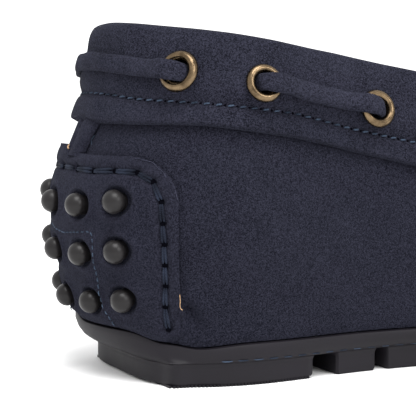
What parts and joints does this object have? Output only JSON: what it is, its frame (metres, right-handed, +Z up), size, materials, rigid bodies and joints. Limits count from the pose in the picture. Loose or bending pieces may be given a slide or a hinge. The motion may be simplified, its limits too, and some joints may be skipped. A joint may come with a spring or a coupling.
{
  "type": "driving loafer",
  "caption": "Suede driving moccasin for the right foot: folded collar laced with a thong through brass eyelets, pebbled heel counter and lugged rubber sole",
  "frame": {"origin": "middle of the flat floor face under the heel block", "axes": "+X to the toe along the shoe's length, +Y to the inner (big toe) side, +Z up from the floor"},
  "size_m": [0.2897, 0.1004, 0.0829],
  "materials": {
    "upper_suede": "napped suede, matt",
    "sole_rubber": "satin moulded",
    "insole_leather": "smooth lining leather",
    "collar_suede": "napped suede, matt",
    "counter_suede": "napped suede, matt",
    "pebble_rubber": "satin moulded",
    "eyelet_brass": "antique, half polished",
    "lace_suede": "napped suede thong, matt"
  },
  "bodies": {
    "root": {"upper": "upper_suede", "outsole": "sole_rubber", "insole": "insole_leather", "tongue": "upper_suede", "apron_seam": "upper_suede", "collar": "collar_suede", "heel_counter": "counter_suede", "pebble_row1_1": "pebble_rubber", "pebble_row1_2": "pebble_rubber", "pebble_row1_3": "pebble_rubber", "pebble_row1_4": "pebble_rubber", "pebble_row2_1": "pebble_rubber", "pebble_row2_2": "pebble_rubber", "pebble_row2_3": "pebble_rubber", "pebble_row2_4": "pebble_rubber", "pebble_row3_1": "pebble_rubber", "pebble_row3_2": "pebble_rubber", "pebble_row3_3": "pebble_rubber", "pebble_row3_4": "pebble_rubber", "eyelet_outer_1": "eyelet_brass", "eyelet_outer_2": "eyelet_brass", "eyelet_outer_3": "eyelet_brass", "eyelet_outer_4": "eyelet_brass", "eyelet_outer_5": "eyelet_brass", "eyelet_inner_1": "eyelet_brass", "eyelet_inner_2": "eyelet_brass", "eyelet_inner_3": "eyelet_brass", "eyelet_inner_4": "eyelet_brass", "eyelet_inner_5": "eyelet_brass", "lace": "lace_suede"}
  },
  "joints": []
}
